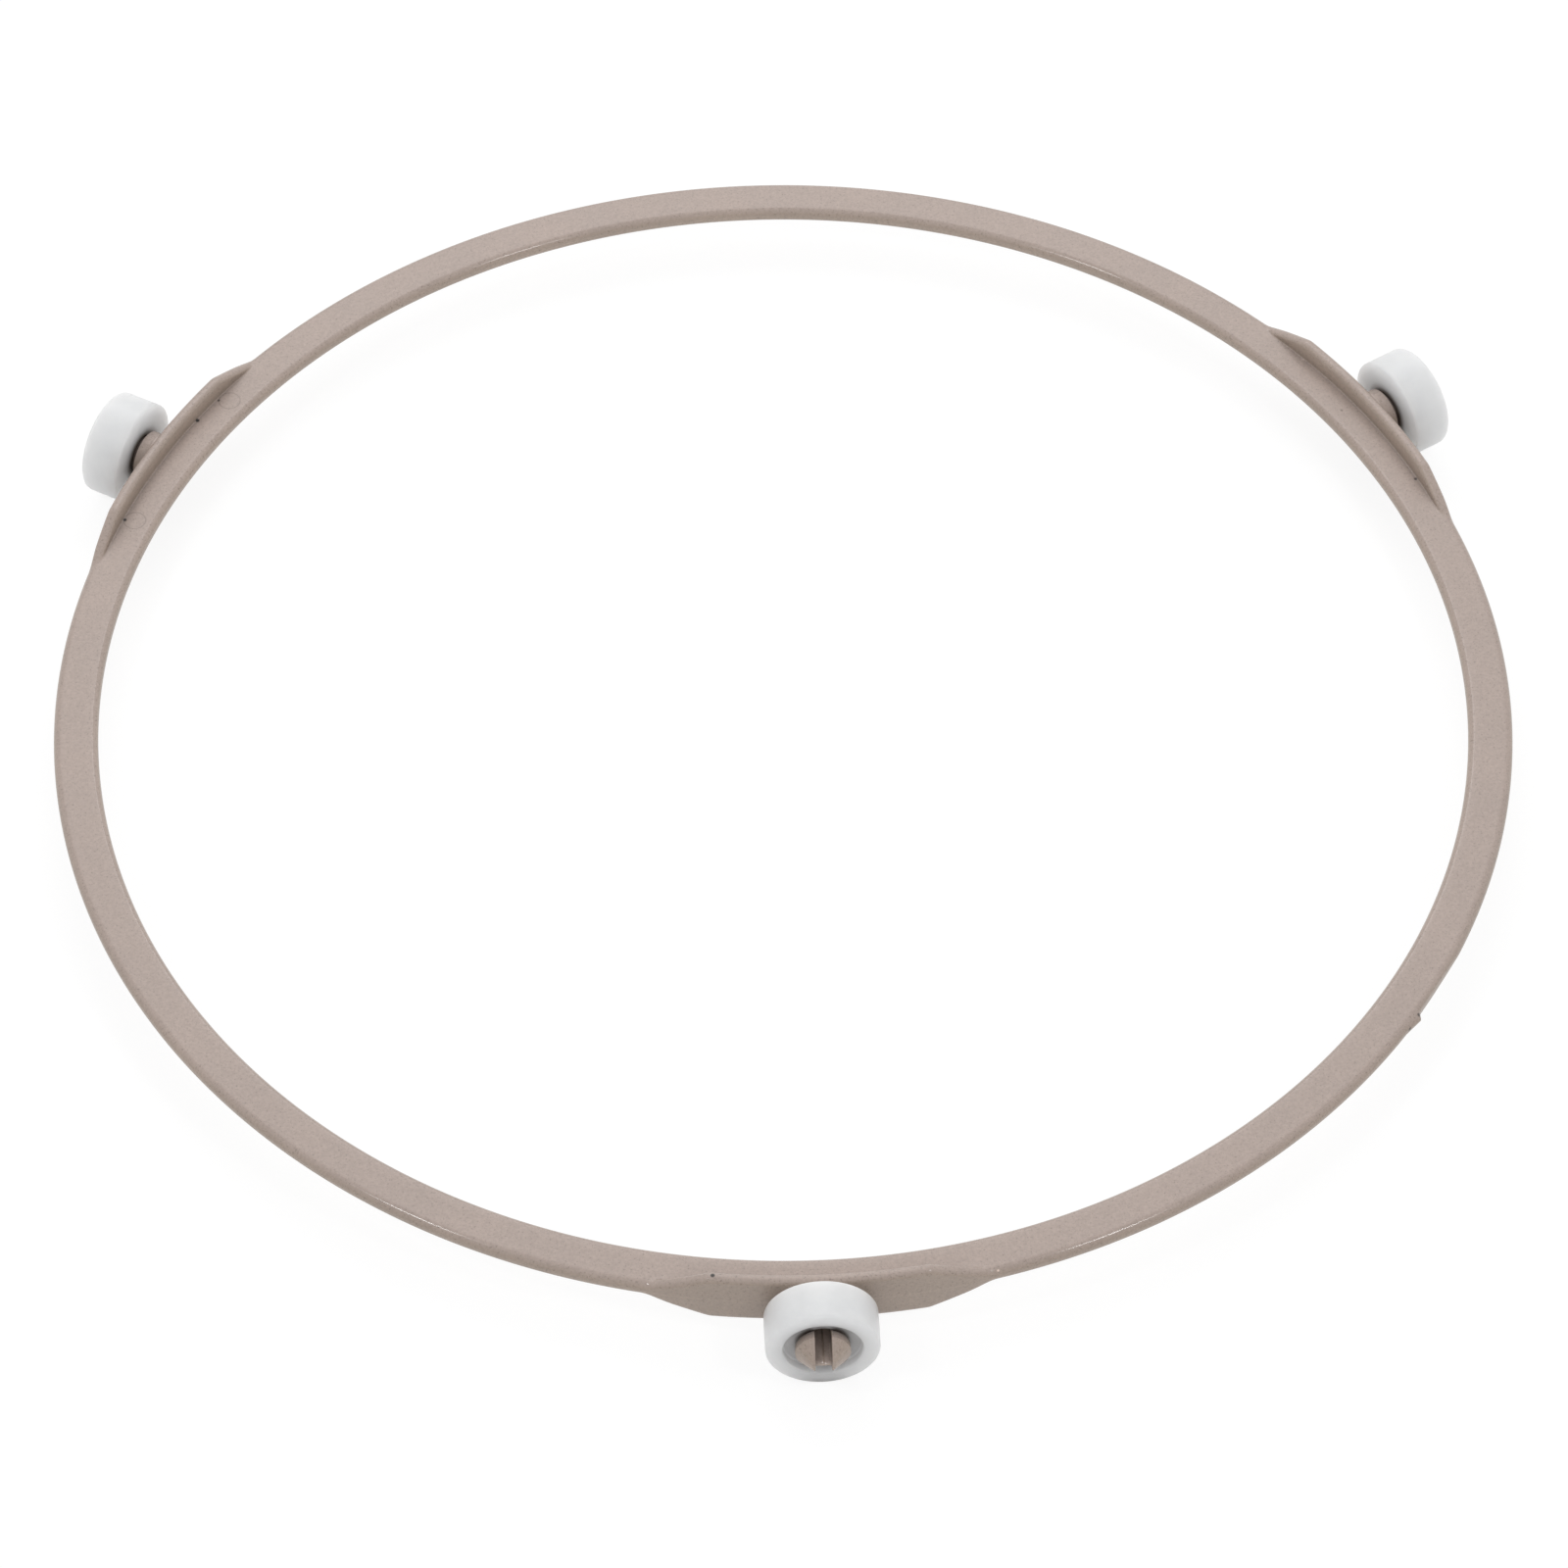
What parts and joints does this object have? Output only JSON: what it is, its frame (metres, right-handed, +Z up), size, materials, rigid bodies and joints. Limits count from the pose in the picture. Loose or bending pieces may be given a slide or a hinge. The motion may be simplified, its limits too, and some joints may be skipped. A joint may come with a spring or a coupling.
{
  "type": "microwave roller ring",
  "caption": "Flat plastic ring with three rollers on its radial axles, which carries a microwave oven's glass tray as it turns on the oven floor.",
  "frame": {"origin": "on the ring's axis, in the plane of the oven floor that the rollers stand on", "axes": "+Z up along the ring's axis; the front roller's axle points along -Y, and the other two lie 120 degrees to each side"},
  "size_m": [0.19, 0.1997, 0.014],
  "materials": {
    "ring_plastic": "taupe moulded plastic, satin, with a fine speckle",
    "roller_plastic": "white low-friction plastic, smooth and slightly waxy"
  },
  "bodies": {
    "frame": {"ring_frame": "ring_plastic"},
    "front_roller": {"roller_front": "roller_plastic"},
    "right_roller": {"roller_right": "roller_plastic"},
    "left_roller": {"roller_left": "roller_plastic"}
  },
  "joints": [
    {"name": "front_roller_spin", "type": "hinge", "parent": "frame", "child": "front_roller", "pos_m": [0, -0.0998, 0.007], "axis": [0, -1, 0], "continuous": true},
    {"name": "right_roller_spin", "type": "hinge", "parent": "frame", "child": "right_roller", "pos_m": [0.08643, 0.0499, 0.007], "axis": [0.866, 0.5, 0], "continuous": true},
    {"name": "left_roller_spin", "type": "hinge", "parent": "frame", "child": "left_roller", "pos_m": [-0.08643, 0.0499, 0.007], "axis": [-0.866, 0.5, 0], "continuous": true}
  ]
}
